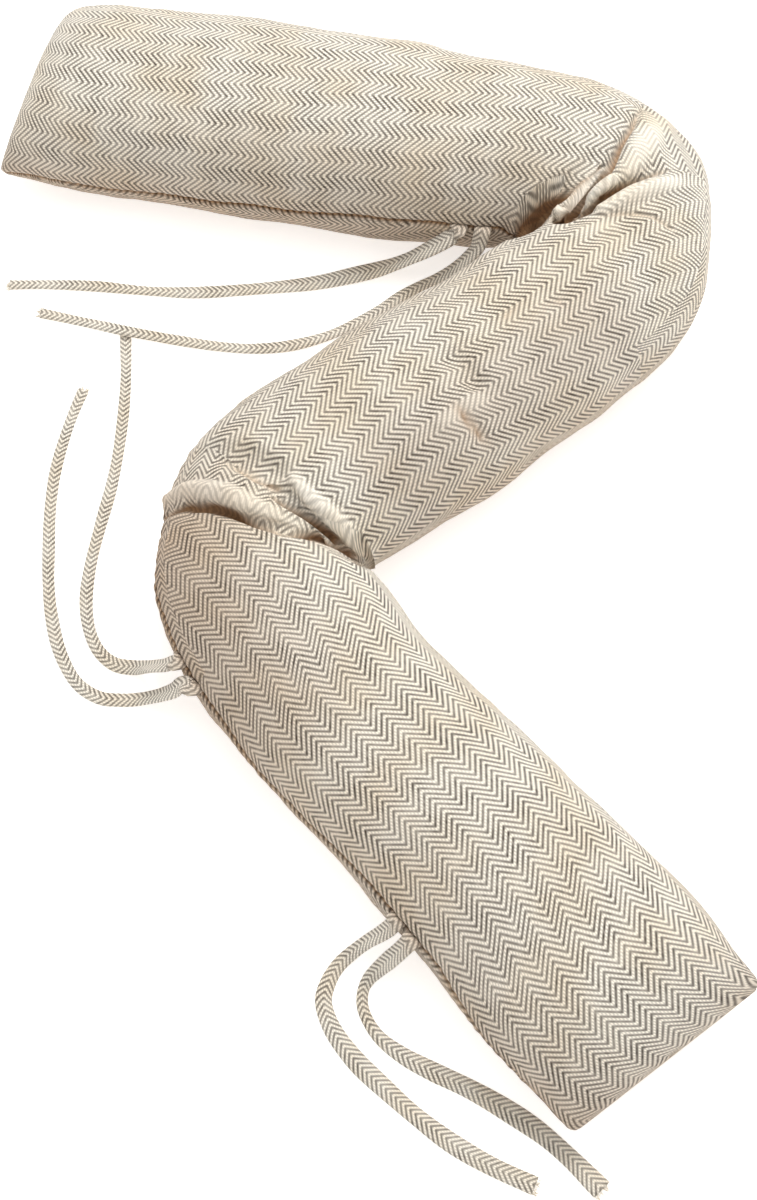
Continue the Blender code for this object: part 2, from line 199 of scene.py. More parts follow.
# Small ridges between the creases: points of x, y, height, half width
RIDGES = {
    "first bend, small ridge": (
        (0.104, 0.151, 0.0034, 0.0046), (0.114, 0.158, 0.0044, 0.0042), (0.125, 0.168, 0.0014, 0.0036),
    ),
    "first bend, second small ridge": (
        (0.116, 0.152, 0.0036, 0.0040), (0.130, 0.162, 0.0034, 0.0046),
    ),
    "first bend, wedge": (
        (0.138, 0.168, 0.0034, 0.0075), (0.147, 0.183, 0.0044, 0.0105), (0.157, 0.206, 0.0020, 0.0120),
    ),
    "first bend, ridge under the inner crease": (
        (0.124, 0.145, 0.0030, 0.0055), (0.140, 0.153, 0.0042, 0.0066), (0.155, 0.160, 0.0042, 0.0070),
        (0.168, 0.166, 0.0010, 0.0070),
    ),
    "first bend, swelling below the arc": (
        (0.112, 0.130, 0.0016, 0.0080), (0.128, 0.133, 0.0018, 0.0080),
    ),
    "first bend, second pucker": (
        (0.118, 0.108, 0.0012, 0.0060), (0.124, 0.126, 0.0008, 0.0060),
    ),
    "middle run, swelling beside the dimple": (
        (0.044, 0.022, 0.0018, 0.0080), (0.060, 0.034, 0.0020, 0.0085),
    ),
    "second bend, rolled ridge": (
        (-0.088, -0.004, 0.0030, 0.0060), (-0.077, -0.006, 0.0056, 0.0068),
        (-0.058, -0.013, 0.0062, 0.0072), (-0.042, -0.022, 0.0052, 0.0066),
        (-0.024, -0.029, 0.0022, 0.0048),
    ),
    "second bend, narrow ridge": (
        (-0.026, -0.008, 0.0026, 0.0045), (-0.018, -0.016, 0.0048, 0.0048),
        (-0.008, -0.023, 0.0050, 0.0050), (0.003, -0.031, 0.0020, 0.0048),
    ),
    "last run, faint wrinkle": (
        (-0.008, -0.122, 0.0012, 0.0040), (0.010, -0.126, 0.0008, 0.0040),
    ),
}

# Broad places where shade is painted into the cloth: points of x, y, share, half width
PAINTED_SHADE_PLACES = {
    "last run, beside the second bend": (
        (-0.080, -0.035, 0.42, 0.050), (-0.040, -0.110, 0.26, 0.055),
    ),
    "middle run, lower side": (
        (0.120, 0.075, 0.22, 0.040), (0.030, 0.000, 0.26, 0.040),
    ),
}

# Fineness of the visible tube, and of the readings over one of its rings
RUN_STEP = 0.0026
BEND_STEP = 0.00052
BEND_TURN = 1.0
END_STATIONS = (0.0, 0.0008, 0.0020, 0.0038, 0.0062, 0.0092, 0.0130, 0.0175, 0.0225)
TOP_STEPS = 104
UNDER_STEPS = 28
SKIN_READINGS = 121

# Extra columns on both sides of the seam, as shares of the way over the top or back under the tube
SEAM_SHARES = (0.0045, 0.0090, 0.0145, 0.0210)

# Long seam on the tube's right side
SEAM_GROOVE = 0.0017
SEAM_GROOVE_WIDTH = 0.0011
SEAM_LIP = 0.0006
SEAM_LIP_PLACE = 0.0032
SEAM_LIP_WIDTH = 0.0022
SEAM_PUCKER = 0.0003
SEAM_PUCKER_PITCH = 0.0041
SEAM_PUCKER_REACH = 0.010
SEAM_PUCKER_DRIFT = 2.2
SEAM_PUCKER_DRIFT_RATE = 71
SEAM_SHADE_WIDTH = 0.0009

# Lumps of the filling: size of the large and small ones, and share of the small ones' height
LUMP_SIZE = 0.034
SMALL_LUMP_SIZE = 0.012
SMALL_LUMP_SHARE = 0.3

# Changes over the skin, each by its start and length: onto the top, off the floor and into a fold
ON_TOP = (-0.1, 0.4)
OFF_FLOOR = (0.0005, 0.006)
IN_FOLD = (0.004, 0.014)

# Painted shade, browner and dim, in hollows: full depth of a crease, then reach and strength of the painted
# shade near the floor and beside the seam
CREASE_DEPTH = 0.0052
CREASE_POWER = 1.3
FLOOR_SHADE = (0.050, 0.55)
SEAM_SHADE = (0.060, 0.22)

# Height of a ridge and depth of a crease at which the weave's dark lines are fully faded, a painted
# highlight on the ridges
ROLLED_RIDGE = 0.0036
ROLLED_CREASE = 0.003

# Stitches in the seam's groove
STITCH_PITCH = 0.0034
STITCH_LENGTH = 0.0026
STITCH_THREAD = 0.0005
STITCH_MARGIN = 0.012

# Tie strands: flat folded tapes. TIE_WIDTH is their average width, TIE_LEVEL their middle on the floor
TIE_LEVEL = 0.0015
TIE_THICKNESS = 0.0026
TIE_WEAVE = 1.2
TIE_ROOT_RISE = 0.0035
TIE_STEP = 0.0014
TIE_SIDE_POWER = 0.62
TIE_TOP_POWER = 0.80
TIE_UNEVENNESS = 0.045
TIE_UNEVEN_RATE = 130
TIE_TILT = 0.16
TIE_TILT_RATE = 95
TIE_TILT_START = 0.02
TIE_SHADE = 0.8
TIE_SHADE_LENGTH = 0.006
TAPE_CONTRAST = 0.95
LOWEST = 0.0001
FRAY_FIBRES = 26
FRAY_LENGTH = 0.0024
FRAY_FIBRE = 0.00011
FRAY_INSET = 0.0002

# Length along the tube at which each strand leaves the seam
TIE_ROOTS = {
    "tie_1a": 0.2455,
    "tie_1b": 0.2580,
    "tie_2a": 0.6375,
    "tie_2b": 0.6450,
    "tie_3a": 0.7895,
    "tie_3b": 0.8005,
}

# Points along each strand; one without a height lies on the floor
TIE_ROUTES = {
    "tie_1a": [
        (0.0521, 0.1513, 0.0340), (0.0479, 0.1498, 0.0310), (0.0429, 0.1492, 0.0270),
        (0.0336, 0.1488, 0.0195), (0.0248, 0.1490, 0.0125), (0.0143, 0.1489, 0.0065),
        (-0.0017, 0.1470, 0.0026), (-0.0199, 0.1433, 0.0016), (-0.0448, 0.1403),
        (-0.0801, 0.1375), (-0.1061, 0.1384), (-0.1333, 0.1413),
        (-0.1578, 0.1423), (-0.1786, 0.1422),
    ],
    "tie_1b": [
        (0.0637, 0.1467, 0.0290), (0.0591, 0.1451, 0.0220), (0.0526, 0.1438, 0.0145),
        (0.0435, 0.1423, 0.0070), (0.0348, 0.1401, 0.0032), (0.0244, 0.1346, 0.0016),
        (0.0140, 0.1261), (0.0011, 0.1181), (-0.0133, 0.1107),
        (-0.0317, 0.1050), (-0.0506, 0.1031), (-0.0692, 0.1045),
        (-0.0904, 0.1079, 0.0020), (-0.1044, 0.1098, 0.0036), (-0.1169, 0.1119, 0.0046),
        (-0.1294, 0.1158, 0.0034), (-0.1445, 0.1205, 0.0018), (-0.1613, 0.1248),
    ],
    "tie_2a": [
        (-0.0817, -0.0869, 0.0310), (-0.0873, -0.0850, 0.0240), (-0.0932, -0.0821, 0.0160),
        (-0.0983, -0.0794, 0.0088), (-0.1042, -0.0770, 0.0034), (-0.1131, -0.0743, 0.0016),
        (-0.1212, -0.0668), (-0.1264, -0.0543), (-0.1284, -0.0387),
        (-0.1271, -0.0196), (-0.1234, 0.0019), (-0.1196, 0.0216),
        (-0.1170, 0.0421), (-0.1156, 0.0654), (-0.1155, 0.0873, 0.0014),
        (-0.1169, 0.1119, 0.0014),
    ],
    "tie_2b": [
        (-0.0769, -0.0980, 0.0310), (-0.0821, -0.0977, 0.0235), (-0.0880, -0.0960, 0.0150),
        (-0.0941, -0.0945, 0.0082), (-0.1010, -0.0935, 0.0032), (-0.1094, -0.0931, 0.0016),
        (-0.1197, -0.0916), (-0.1307, -0.0837), (-0.1393, -0.0680),
        (-0.1442, -0.0505), (-0.1470, -0.0327), (-0.1483, -0.0125),
        (-0.1490, 0.0092), (-0.1479, 0.0301), (-0.1447, 0.0491),
        (-0.1407, 0.0654), (-0.1368, 0.0778),
    ],
    "tie_3a": [
        (0.0189, -0.2133, 0.0305), (0.0147, -0.2141, 0.0230), (0.0090, -0.2149, 0.0145),
        (0.0036, -0.2166, 0.0072), (-0.0009, -0.2190, 0.0030), (-0.0054, -0.2233, 0.0016),
        (-0.0094, -0.2305), (-0.0112, -0.2396), (-0.0069, -0.2518),
        (0.0029, -0.2652), (0.0156, -0.2775), (0.0291, -0.2895),
        (0.0445, -0.3012), (0.0616, -0.3112), (0.0803, -0.3197),
    ],
    "tie_3b": [
        (0.0245, -0.2226, 0.0305), (0.0209, -0.2240, 0.0235), (0.0166, -0.2253, 0.0155),
        (0.0125, -0.2269, 0.0085), (0.0088, -0.2295, 0.0038), (0.0062, -0.2348, 0.0016),
        (0.0068, -0.2437), (0.0131, -0.2545), (0.0238, -0.2631),
        (0.0371, -0.2703), (0.0527, -0.2778), (0.0678, -0.2865),
        (0.0832, -0.2969), (0.0961, -0.3083), (0.1089, -0.3214),
    ],
}

# Width of each strand at lengths along it: wider where it lies open than where it is drawn together
TIE_WIDTHS = {
    "tie_1a": (
        (0.0, 0.0090), (0.030, 0.0100), (0.075, 0.0092), (0.120, 0.0072), (0.170, 0.0060),
        (0.249, 0.0056),
    ),
    "tie_1b": (
        (0.0, 0.0090), (0.018, 0.0084), (0.050, 0.0066), (0.120, 0.0060), (0.260, 0.0056),
    ),
    "tie_2a": (
        (0.0, 0.0090), (0.030, 0.0084), (0.060, 0.0064), (0.250, 0.0056),
    ),
    "tie_2b": (
        (0.0, 0.0090), (0.030, 0.0084), (0.060, 0.0066), (0.250, 0.0056),
    ),
    "tie_3a": (
        (0.0, 0.0086), (0.030, 0.0076), (0.052, 0.0066), (0.080, 0.0088), (0.192, 0.0084),
    ),
    "tie_3b": (
        (0.0, 0.0090), (0.022, 0.0094), (0.045, 0.0050), (0.062, 0.0056), (0.100, 0.0092),
        (0.186, 0.0092),
    ),
}
CURVE_STEPS = 12

# Edges of a dark crossing, as shares of the repeat, and of the gap beside a yarn, as shares of its pitch
CROSSING_EDGE = (0.14, 0.23)
GAP_EDGE = (0.20, 0.44)

# Contrast left in a pale yarn, a pale patch, every second stripe and a rolled ridge, where the fading is a
# painted highlight
YARN_LEAST = 0.78
PATCH_LEAST = 0.8
STRIPE_LEAST = 0.88
ROLLED_LEAST = 0.45

# How fast the yarns vary along and across, and sizes in millimetres of pale and of warmer patches
YARN_STRETCH = (0.21, 0.83, 1.0)
BLOTCH_SIZE = 14
TONE_SIZE = 42
TONE_MOST = 0.4

# Where the weave changes direction in the bends: the bend's turn in degrees at a distance from its centre,
# and how little of the skin's direction points up on a steep side
STEEP_SIDE = 0.55
WEAVE_BREAKS = {
    "first bend": [((0.020, 100.0), (0.033, 76.0), (0.060, 50.0), (0.093, 34.0)),
                   ((0.020, 110.0), (0.033, 95.0), (0.060, 74.0), (0.080, 64.0))],
    "second bend": [((0.015, 40.0), (0.040, 33.0), (0.060, 25.0), (0.090, 20.0)),
                    ((0.015, 52.0), (0.040, 52.0), (0.060, 46.0), (0.100, 40.0))],
}


def linear(code):
    """Linear colour of an sRGB hex value such as F4ECDD."""
    shares = [int(code[index:index + 2], 16) / 255 for index in (0, 2, 4)]
    return [share / 12.92 if share <= 0.04045 else ((share + 0.055) / 1.055) ** 2.4 for share in shares]


def eased(share):
    share = np.clip(share, 0.0, 1.0)
    return share * share * (3 - 2 * share)


def changed(value, change):
    """How far a value has come through a change that is given by its start and its length."""
    start, length = change
    return eased((value - start) / length)


def course_legs():
    """Each row of the course with where it begins: start length, length, x, y, heading, turn."""
    legs = []
    x, y = COURSE_START
    heading = math.radians(COURSE_HEADING)
    start = 0.0
    for _name, length, turn_degrees in COURSE:
        turn = math.radians(turn_degrees)
        legs.append((start, length, x, y, heading, turn))
        chord = length * math.sin(turn / 2) / (turn / 2) if turn else length
        x += chord * math.cos(heading + turn / 2)
        y += chord * math.sin(heading + turn / 2)
        heading += turn
        start += length
    return legs


LEGS = course_legs()
LEG_TABLE = np.array(LEGS)
COURSE_LENGTH = sum(row[1] for row in COURSE)


def on_course(s):
    """Points and headings of the middle line at lengths s."""
    s = np.asarray(s, float)
    leg = LEG_TABLE[np.clip(np.searchsorted(LEG_TABLE[:, 0], s, side="right") - 1, 0, len(LEGS) - 1)]
    start, length, x, y, heading, turn = np.moveaxis(leg, -1, 0)
    half = turn * (s - start) / length / 2
    chord = (s - start) * np.sinc(half / math.pi)
    return x + chord * np.cos(heading + half), y + chord * np.sin(heading + half), heading + 2 * half


def section_at(s):
    """Right and left half width, height and seam roll at lengths s, eased between the table's rows."""
    s = np.clip(np.asarray(s, float), 0.0, SECTIONS[-1, 0])
    low = np.clip(np.searchsorted(SECTIONS[:, 0], s, side="left") - 1, 0, len(SECTIONS) - 2)
    share = eased((s - SECTIONS[low, 0]) / (SECTIONS[low + 1, 0] - SECTIONS[low, 0]))
    return [SECTIONS[low, column] * (1 - share) + SECTIONS[low + 1, column] * share
            for column in (1, 2, 3, 4)]


def end_share(s):
    """0 at a sewn end and 1 from END_LENGTH inwards, rising like a pillow's end."""
    inward = np.minimum(s, COURSE_LENGTH - s)
    share = np.clip(inward / END_LENGTH, 0.0, 1.0)
    return np.sqrt(1 - (1 - share) ** 2)


def stroke_field(strokes, x, y, sharp=False):
    """Size of a table's strongest stroke at each point of the floor plan; a sharp one comes to an edge."""
    field = np.zeros_like(x)
    lines = [line for points in strokes.values() for line in zip(points, points[1:])]
    for (ax, ay, size_a, width_a), (bx, by, size_b, width_b) in lines:
        dx, dy = bx - ax, by - ay
        share = np.clip(((x - ax) * dx + (y - ay) * dy) / (dx * dx + dy * dy), 0.0, 1.0)
        away = np.hypot(x - ax - dx * share, y - ay - dy * share)
        reach = np.clip(away / (width_a + (width_b - width_a) * share), 0.0, 1.0)
        fall = (1 - reach) ** 2 if sharp else (1 - reach ** 2) ** 2
        field = np.maximum(field, (size_a + (size_b - size_a) * share) * fall)
    return field


def plan_point(s, across):
    """Floor plan point at length s; across is -1 at the right edge and 1 at the left edge."""
    inward = np.minimum(s, COURSE_LENGTH - s)
    slant = np.where(s < COURSE_LENGTH / 2, END_SLANT, FAR_SLANT) * (across + 1) / 2
    moved = s + slant * np.clip(1 - inward / SLANT_LENGTH, 0.0, 1.0)
    x, y, heading = on_course(moved)
    right, left, _height, _roll = section_at(moved)
    corner = np.clip(1 - inward / CORNER_RADIUS, 0.0, 1.0)
    offset = across * (np.where(across > 0, left, right) - CORNER_RADIUS * (1 - np.sqrt(1 - corner ** 2)))
    return x - np.sin(heading) * offset, y + np.cos(heading) * offset


def surface_point(s, angle, folded=True):
    """Points of the skin; angle 0 is the right edge, 90 the crown, 180 the left edge, in degrees."""
    s, angle = np.broadcast_arrays(np.asarray(s, float), np.asarray(angle, float))
    _right, _left, height, _roll = section_at(s)
    share = end_share(s)
    edge = END_LEVEL + (height * EDGE_LEVEL - END_LEVEL) * share
    turned = np.radians(angle)
    across = -np.cos(turned)
    x, y = plan_point(s, across)
    outer = np.clip((np.abs(across) - FLAT_SHARE) / (1 - FLAT_SHARE), 0.0, 1.0)
    under = edge - np.minimum(END_THICKNESS / 2 + edge * share, edge) * np.sqrt(1 - outer ** 2)
    crown = END_THICKNESS / 2 + (height - edge) * share
    rise = crown * np.sqrt(np.clip(1 - np.abs(across) ** CROWN_POWER, 0.0, 1.0))
    pressed = stroke_field(FOLDS, x, y) if folded else 0.0
    top = edge + rise - np.minimum(pressed, FOLD_LIMIT * rise)
    return np.stack([x, y, np.where(np.sin(turned) < 0, under, top)], axis=-1)


def seam_point(s):
    return Vector(surface_point(s, section_at(s)[3]))


def seam_normal(s):
    """Direction straight out of the skin at the seam."""
    roll = section_at(s)[3]
    up_the_skin = surface_point(s, roll + 5) - surface_point(s, roll - 5)
    heading = float(on_course(s)[2])
    along = Vector((math.cos(heading), math.sin(heading), 0.0))
    return along.cross(Vector(up_the_skin)).normalized()


def station_lengths():
    """Lengths of the tube's rings: closer in the bends and towards the sewn ends."""
    lengths = [*END_STATIONS, *(COURSE_LENGTH - s for s in END_STATIONS)]
    for start, length, _x, _y, _heading, turn in LEGS:
        step = BEND_STEP if abs(turn) > BEND_TURN else RUN_STEP
        count = round(length / step)
        lengths += [start + length * index / count for index in range(count)]
    first_even = END_STATIONS[-1] + RUN_STEP / 2
    inner = [s for s in lengths if first_even < s < COURSE_LENGTH - first_even]
    return np.array(sorted([*END_STATIONS, *inner, *(COURSE_LENGTH - s for s in END_STATIONS)]))


def ring_angles(roll):
    """Angles of each ring, from the seam over the crown and back under the tube, closer beside the seam."""
    top = np.concatenate([[0.0], np.linspace(SEAM_SHARES[-1], 1.0, TOP_STEPS + 1)])
    top = np.insert(top, 1, SEAM_SHARES[:-1])
    under = np.linspace(0.0, 1 - SEAM_SHARES[-1], UNDER_STEPS + 1)[1:]
    under = np.append(under, [1 - share for share in reversed(SEAM_SHARES[:-1])])
    return np.concatenate([roll[:, None] + (180 - roll[:, None]) * top,
                           180 + (180 + roll[:, None]) * under], axis=1)


def smooth_route(points, step):
    """Evenly spaced points on a Catmull-Rom curve through the route's own points."""
    ends = [points[0] * 2 - points[1], *points, points[-1] * 2 - points[-2]]
    fine = []
    for before, start, end, after in zip(ends, ends[1:], ends[2:], ends[3:]):
        for index in range(CURVE_STEPS):
            t = index / CURVE_STEPS
            fine.append(0.5 * (2 * start + (end - before) * t
                               + (2 * before - 5 * start + 4 * end - after) * t ** 2
                               + (3 * start - before - 3 * end + after) * t ** 3))
    fine.append(points[-1])
    reached = np.concatenate([[0.0], np.cumsum([(b - a).length for a, b in zip(fine, fine[1:])])])
    wanted = np.linspace(0.0, reached[-1], round(reached[-1] / step) + 1)
    table = np.array([list(point) for point in fine])
    columns = [np.interp(wanted, reached, table[:, axis]) for axis in range(3)]
    return [Vector(point) for point in zip(*columns)]


def strand_route(name):
    """Even points along a strand's middle line, from the seam to its free end."""
    seam, normal = seam_point(TIE_ROOTS[name]), seam_normal(TIE_ROOTS[name])
    points = [seam, seam + normal * TIE_ROOT_RISE]
    points += [Vector((*point, TIE_LEVEL)[:3]) for point in TIE_ROUTES[name]]
    return smooth_route(points, TIE_STEP)


def new_object(name, data):
    made = bpy.data.objects.new(name, data)
    bpy.context.scene.collection.objects.link(made)
    return made


def add_node(tree, kind, inputs=(), **settings):
    """Adds a node, sets it, and gives each input a value or a link; a node stands for its first output."""
    node = tree.nodes.new(kind)
    for setting, value in settings.items():
        setattr(node, setting, value)
    for socket, value in inputs:
        if isinstance(value, bpy.types.Node):
            value = value.outputs[0]
        if isinstance(value, bpy.types.NodeSocket):
            tree.links.new(value, node.inputs[socket])
        else:
            node.inputs[socket].default_value = value
    return node


def new_material(name, values):
    """A material, its node tree and its shader, whose inputs take the given values."""
    material = bpy.data.materials.new(name)
    material.use_nodes = True
    tree = material.node_tree
    shader = tree.nodes["Principled BSDF"]
    for socket, value in values.items():
        shader.inputs[socket].default_value = value
    return material, tree, shader


def store(mesh, name, values, kind="FLOAT", member="value"):
    """Keeps a value for each point of a mesh under a name."""
    mesh.attributes.new(name, kind, "POINT").data.foreach_set(member, values)


def herringbone_cotton(name, cloth, contrast):
    """Cotton twill woven in a herringbone, undyed lengthwise yarns over grey-brown crosswise ones.

    Each lengthwise yarn passes over two crosswise yarns and under one, a step further on in each
    neighbour, and the step turns back at every stripe. The eye sees light ropes between thin dark
    chevrons, crossed by the faint gaps between the yarns. The yarns are drawn coarser than the real
    ones, whose 0.6 mm wouldn't show.
    """
    material, tree, shader = new_material(name, {"Roughness": 0.92, "Sheen Weight": 0.12,
                                                 "Sheen Roughness": 0.5, "Specular IOR Level": 0.25})
    place = add_node(tree, "ShaderNodeUVMap", uv_map="cloth").outputs[0]
    # Painted shade, stored on each mesh
    painted_shade = add_node(tree, "ShaderNodeAttribute", attribute_name="painted_shade").outputs["Fac"]

    # The weave wanders as it does on a stuffed cover
    drift = add_node(tree, "ShaderNodeTexNoise",
                     [("Vector", place), ("Scale", 1 / cloth.drift_length), ("Detail", 1.5)])
    centred = add_node(tree, "ShaderNodeVectorMath", [(0, drift.outputs["Color"]), (1, (0.5, 0.5, 0.5))],
                       operation="SUBTRACT")
    offset = add_node(tree, "ShaderNodeVectorMath", [(0, centred), ("Scale", cloth.drift)],
                      operation="SCALE")
    woven = add_node(tree, "ShaderNodeVectorMath", [(0, place), (1, offset)], operation="ADD")

    # Cells of the weave: x counts crosswise yarns and y counts lengthwise yarns
    scaled = add_node(tree, "ShaderNodeVectorMath",
                      [(0, woven), (1, (cloth.weft_pitch, cloth.warp_pitch, 1.0))], operation="DIVIDE")
    cell = add_node(tree, "ShaderNodeVectorMath", [(0, scaled)], operation="FLOOR")
    centre = add_node(tree, "ShaderNodeVectorMath", [(0, cell), (1, (0.5, 0.5, 0.5))], operation="ADD")
    between = add_node(tree, "ShaderNodeVectorMath", [(0, scaled), (1, centre)], operation="SUBTRACT")
    beside = add_node(tree, "ShaderNodeVectorMath", [(0, between)], operation="ABSOLUTE")
    away = add_node(tree, "ShaderNodeSeparateXYZ", [(0, beside)])
    beaded = add_node(tree, "ShaderNodeMix", [(0, cloth.beading), (4, scaled), (5, centre)],
                      data_type="VECTOR")
    count = add_node(tree, "ShaderNodeSeparateXYZ", [(0, beaded.outputs[1])])

    # Twill line, a step further on in each lengthwise yarn, and its turn at each stripe
    stripe_share = add_node(tree, "ShaderNodeMath", [(0, count.outputs[1]), (1, cloth.stripe_ends)],
                            operation="DIVIDE")
    stripe = add_node(tree, "ShaderNodeMath", [(0, stripe_share)], operation="FLOOR")
    in_stripe = add_node(tree, "ShaderNodeMath", [(0, count.outputs[1]), (1, cloth.stripe_ends)],
                         operation="PINGPONG")
    stepped = add_node(tree, "ShaderNodeMath", [(0, count), (1, in_stripe)], operation="ADD")
    repeats = add_node(tree, "ShaderNodeMath", [(0, stepped), (1, 3.0)], operation="DIVIDE")
    cycle = add_node(tree, "ShaderNodeMath", [(0, repeats)], operation="FRACT")
    from_line = add_node(tree, "ShaderNodeMath", [(0, cycle), (1, 0.5)], operation="SUBTRACT")
    off_line = add_node(tree, "ShaderNodeMath", [(0, from_line)], operation="ABSOLUTE")
    crossing = add_node(tree, "ShaderNodeMapRange",
                        [(0, off_line), (1, CROSSING_EDGE[0]), (2, CROSSING_EDGE[1]), (3, 1.0), (4, 0.0)],
                        interpolation_type="SMOOTHSTEP")

    # Shadow between neighbouring lengthwise yarns
    gap = add_node(tree, "ShaderNodeMapRange", [(0, away.outputs[1]), (1, GAP_EDGE[0]), (2, GAP_EDGE[1])],
                   interpolation_type="SMOOTHSTEP")

    # Unevenness: of single yarns, of patches of cloth, and between neighbouring stripes
    stretched = add_node(tree, "ShaderNodeVectorMath", [(0, cell), (1, YARN_STRETCH)],
                         operation="MULTIPLY")
    uneven = add_node(tree, "ShaderNodeTexNoise", [("Vector", stretched), ("Scale", 1.0), ("Detail", 1.0)])
    fleck = add_node(tree, "ShaderNodeMapRange",
                     [(0, uneven), (1, 0.3), (2, 0.7), (3, YARN_LEAST), (4, 1.0)])
    blotch = add_node(tree, "ShaderNodeTexNoise",
                      [("Vector", place), ("Scale", 1 / BLOTCH_SIZE), ("Detail", 2.5)])
    strength = add_node(tree, "ShaderNodeMapRange",
                        [(0, blotch), (1, 0.35), (2, 0.65), (3, PATCH_LEAST * contrast), (4, contrast)])
    parity = add_node(tree, "ShaderNodeMath", [(0, stripe), (1, 1.0)], operation="PINGPONG")
    softer = add_node(tree, "ShaderNodeMapRange", [(0, parity), (3, 1.0), (4, STRIPE_LEAST)])
    # Weave's dark lines faded on ridges, as a painted highlight, and in creases
    rolled = add_node(tree, "ShaderNodeAttribute", attribute_name="rolled")
    eased_off = add_node(tree, "ShaderNodeMapRange",
                         [(0, rolled.outputs["Fac"]), (3, 1.0), (4, ROLLED_LEAST)])
    worn = add_node(tree, "ShaderNodeMath", [(0, strength), (1, fleck)], operation="MULTIPLY")
    kept = add_node(tree, "ShaderNodeMath", [(0, softer), (1, eased_off)], operation="MULTIPLY")
    seen = add_node(tree, "ShaderNodeMath", [(0, worn), (1, kept)], operation="MULTIPLY")
    dark = add_node(tree, "ShaderNodeMath", [(0, crossing), (1, seen)], operation="MULTIPLY")
    shaded = add_node(tree, "ShaderNodeMath", [(0, gap), (1, seen)], operation="MULTIPLY")
    deep = add_node(tree, "ShaderNodeMath", [(0, shaded), (1, cloth.gap_depth)], operation="MULTIPLY")

    # Colours, with painted shade in the hollows: browner and darker there
    painted_shade_share = add_node(tree, "ShaderNodeMath", [(0, painted_shade), (1, cloth.painted_shade_tint)], operation="MULTIPLY")
    light_yarn = add_node(tree, "ShaderNodeMix",
                          [(0, painted_shade_share), (6, cloth.light_yarn), (7, cloth.light_painted_shade)], data_type="RGBA")
    cross_yarn = add_node(tree, "ShaderNodeMix",
                          [(0, painted_shade_share), (6, cloth.cross_yarn), (7, cloth.cross_painted_shade)], data_type="RGBA")
    tone = add_node(tree, "ShaderNodeTexNoise",
                    [("Vector", place), ("Scale", 1 / TONE_SIZE), ("Detail", 3.0)])
    tint = add_node(tree, "ShaderNodeMapRange", [(0, tone), (1, 0.42), (2, 0.66), (3, 0.0), (4, TONE_MOST)])
    toned = add_node(tree, "ShaderNodeMix", [(0, tint), (6, light_yarn.outputs[2]), (7, cloth.toned_yarn)],
                     data_type="RGBA", blend_type="MULTIPLY")
    yarn = add_node(tree, "ShaderNodeMix", [(0, dark), (6, toned.outputs[2]), (7, cross_yarn.outputs[2])],
                    data_type="RGBA")
    colour = add_node(tree, "ShaderNodeMix", [(0, deep), (6, yarn.outputs[2]), (7, cloth.shadow)],
                      data_type="RGBA")
    tree.links.new(colour.outputs[2], shader.inputs["Base Color"])

    # Round yarns stand proud of their gaps
    lower = add_node(tree, "ShaderNodeMath", [(0, gap), (1, crossing)], operation="MAXIMUM")
    height = add_node(tree, "ShaderNodeMath", [(0, 1.0), (1, lower)], operation="SUBTRACT")
    bump = add_node(tree, "ShaderNodeBump", [("Height", height), ("Strength", 0.5), ("Distance", 0.0003)])
    tree.links.new(bump.outputs[0], shader.inputs["Normal"])
    return material


def spun_thread(name, code):
    """Spun cotton sewing thread and loose fibres: matte, with a faint unevenness of tone along it."""
    material, tree, shader = new_material(name, {"Roughness": 0.9})
    place = add_node(tree, "ShaderNodeTexCoord").outputs["Object"]
    mottle = add_node(tree, "ShaderNodeTexNoise", [("Vector", place), ("Scale", 700.0), ("Detail", 2.0)])
    pale = [*linear(code), 1.0]
    deep = [share * 0.72 for share in pale[:3]] + [1.0]
    colour = add_node(tree, "ShaderNodeMix", [(0, mottle), (6, pale), (7, deep)], data_type="RGBA")
    tree.links.new(colour.outputs[2], shader.inputs["Base Color"])
    return material


def new_group(name, base, numbers, output):
    """A node group that makes an output geometry from a base geometry and numbers.

    Returns the group, the node of its inputs and the inputs' identifiers.
    """
    tree = bpy.data.node_groups.new(name, "GeometryNodeTree")
    kinds = {base: "NodeSocketGeometry", **dict.fromkeys(numbers, "NodeSocketFloat")}
    sockets = {label: tree.interface.new_socket(label, in_out="INPUT", socket_type=kind).identifier
               for label, kind in kinds.items()}
    tree.interface.new_socket(output, in_out="OUTPUT", socket_type="NodeSocketGeometry")
    return tree, add_node(tree, "NodeGroupInput"), sockets


def set_out(tree, points, piece, rotation, scale, material):
    """Ends a node group with a copy of a piece on every point, made real and given a material."""
    laid = add_node(tree, "GeometryNodeInstanceOnPoints",
                    [("Points", points), ("Instance", piece), ("Rotation", rotation), ("Scale", scale)])
    real = add_node(tree, "GeometryNodeRealizeInstances", [(0, laid)])
    finished = add_node(tree, "GeometryNodeSetMaterial", [("Geometry", real), ("Material", material)])
    add_node(tree, "NodeGroupOutput", [(0, finished)])


def stitch_row(material):
    """Node group that lays short stitches at an even pitch along a line, and its inputs' identifiers."""
    tree, given, sockets = new_group("seam stitches", "Line", ("Pitch", "Stitch", "Thread"), "Stitches")
    curve = add_node(tree, "GeometryNodeMeshToCurve", [(0, given.outputs["Line"])])
    points = add_node(tree, "GeometryNodeCurveToPoints",
                      [("Curve", curve), ("Length", given.outputs["Pitch"])], mode="LENGTH")
    size = add_node(tree, "ShaderNodeCombineXYZ",
                    [(0, given.outputs["Thread"]), (1, given.outputs["Thread"]),
                     (2, given.outputs["Stitch"])])
    grain = add_node(tree, "GeometryNodeMeshUVSphere", [("Segments", 8), ("Rings", 6), ("Radius", 0.5)])
    stitch = add_node(tree, "GeometryNodeTransform", [("Geometry", grain), ("Scale", size)])
    uneven = add_node(tree, "FunctionNodeRandomValue", [(2, 0.8), (3, 1.1), ("Seed", FRAY_SEED)])
    set_out(tree, points, stitch, points.outputs["Rotation"], uneven.outputs[1], material)
    return tree, sockets


